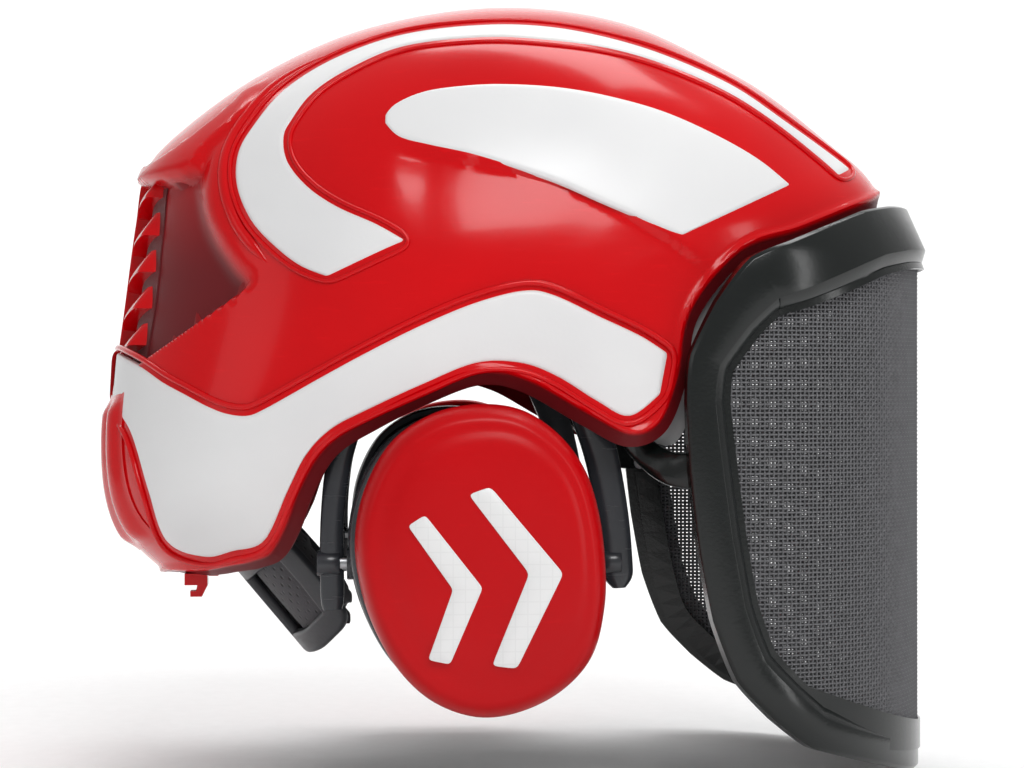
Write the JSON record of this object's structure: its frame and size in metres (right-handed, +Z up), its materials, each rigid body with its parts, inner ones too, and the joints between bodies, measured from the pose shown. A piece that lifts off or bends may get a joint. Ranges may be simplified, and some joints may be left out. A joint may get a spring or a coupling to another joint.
{
  "type": "forestry helmet",
  "caption": "Hard safety helmet with a flip-up mesh visor, swing-out ear cups and an adjustable head basket with a nape cradle.",
  "frame": {"origin": "centre of the head opening, where the head sits", "axes": "+X towards the brow and the visor, +Y to the wearer's left, +Z up through the top of the helmet"},
  "size_m": [0.3035, 0.245, 0.278],
  "materials": {
    "shell_red": "glossy moulded",
    "vent_dark_red": "glossy moulded",
    "panel_white": "satin moulded",
    "liner_grey": "matte moulded",
    "steel": "satin",
    "basket_grey": "moulded nylon",
    "knob_black": "moulded",
    "pad_fabric": "knitted mesh fabric",
    "webbing": "woven webbing",
    "frame_black": "satin moulded",
    "mesh_steel": "black-coated woven wire",
    "yoke_black": "moulded",
    "cap_red": "satin moulded",
    "chevron_white": "printed film",
    "foam": "open-cell foam",
    "cushion_black": "vinyl-covered foam"
  },
  "bodies": {
    "helmet": {"outer_shell": "shell_red", "inner_shell": "liner_grey", "shell_spacers": "liner_grey", "shell_screws": "steel", "side_band_right": "panel_white", "side_band_left": "panel_white", "crown_stripe_right": "panel_white", "crown_stripe_left": "panel_white", "blade_panel_right": "panel_white", "blade_panel_left": "panel_white", "rear_vent_panel": "vent_dark_red", "vent_louvres": "shell_red", "rear_bumper": "shell_red", "cape_hooks": "shell_red", "headband": "basket_grey", "brow_pad": "pad_fabric", "basket_clips": "basket_grey", "crown_straps": "webbing", "crown_pad": "pad_fabric", "nape_cradle": "basket_grey", "nape_pad": "pad_fabric", "nape_stays": "basket_grey", "ratchet_housing": "basket_grey", "visor_pivot_pins": "steel", "yoke_bracket_right": "basket_grey", "yoke_bracket_left": "basket_grey", "yoke_hinge_pin_right": "steel", "yoke_hinge_pin_left": "steel"},
    "adjuster_knob": {"ratchet_knob": "knob_black", "ratchet_pinion": "steel"},
    "rack_right": {"adjuster_rack_right": "basket_grey"},
    "rack_left": {"adjuster_rack_left": "basket_grey"},
    "visor": {"visor_arm_right": "frame_black", "visor_arm_left": "frame_black", "visor_frame": "frame_black", "visor_mesh": "mesh_steel", "mesh_retainer": "frame_black", "bottom_guard": "frame_black", "visor_arm_screws": "steel"},
    "yoke_arm_right": {"yoke_right": "yoke_black", "cup_pivot_pins_right": "steel"},
    "ear_cup_right": {"cup_shell_right": "yoke_black", "cup_cap_right": "cap_red", "chevrons_right": "chevron_white", "cup_foam_right": "foam", "ear_cushion_right": "cushion_black"},
    "yoke_arm_left": {"yoke_left": "yoke_black", "cup_pivot_pins_left": "steel"},
    "ear_cup_left": {"cup_shell_left": "yoke_black", "cup_cap_left": "cap_red", "chevrons_left": "chevron_white", "cup_foam_left": "foam", "ear_cushion_left": "cushion_black"}
  },
  "joints": [
    {"name": "visor_flip", "type": "hinge", "parent": "helmet", "child": "visor", "pos_m": [0.015, 0, 0.021], "axis": [0, -1, 0], "range_deg": [0, 55]},
    {"name": "knob_turn", "type": "hinge", "parent": "helmet", "child": "adjuster_knob", "pos_m": [-0.107, 0, -0.042], "axis": [-1, 0, 0], "range_deg": [-90, 90]},
    {"name": "rack_right_slide", "type": "slide", "parent": "helmet", "child": "rack_right", "axis": [0, 1, 0], "range_m": [-0.01, 0.01]},
    {"name": "rack_left_slide", "type": "slide", "parent": "helmet", "child": "rack_left", "axis": [0, -1, 0], "range_m": [-0.01, 0.01]},
    {"name": "yoke_right_swing", "type": "hinge", "parent": "helmet", "child": "yoke_arm_right", "pos_m": [-0.017, -0.086, 0.005], "axis": [-1, 0, 0], "range_deg": [0, 7]},
    {"name": "cup_right_tilt", "type": "hinge", "parent": "yoke_arm_right", "child": "ear_cup_right", "pos_m": [-0.02, -0.085, -0.06], "axis": [-1, 0, 0], "range_deg": [-4, 4]},
    {"name": "yoke_left_swing", "type": "hinge", "parent": "helmet", "child": "yoke_arm_left", "pos_m": [-0.017, 0.086, 0.005], "axis": [1, 0, 0], "range_deg": [0, 7]},
    {"name": "cup_left_tilt", "type": "hinge", "parent": "yoke_arm_left", "child": "ear_cup_left", "pos_m": [-0.02, 0.085, -0.06], "axis": [1, 0, 0], "range_deg": [-4, 4]}
  ],
  "couplings": [
    {"joint": "rack_right_slide", "follows": "knob_turn", "m_per_rad": 0.006},
    {"joint": "rack_left_slide", "follows": "knob_turn", "m_per_rad": 0.006}
  ]
}
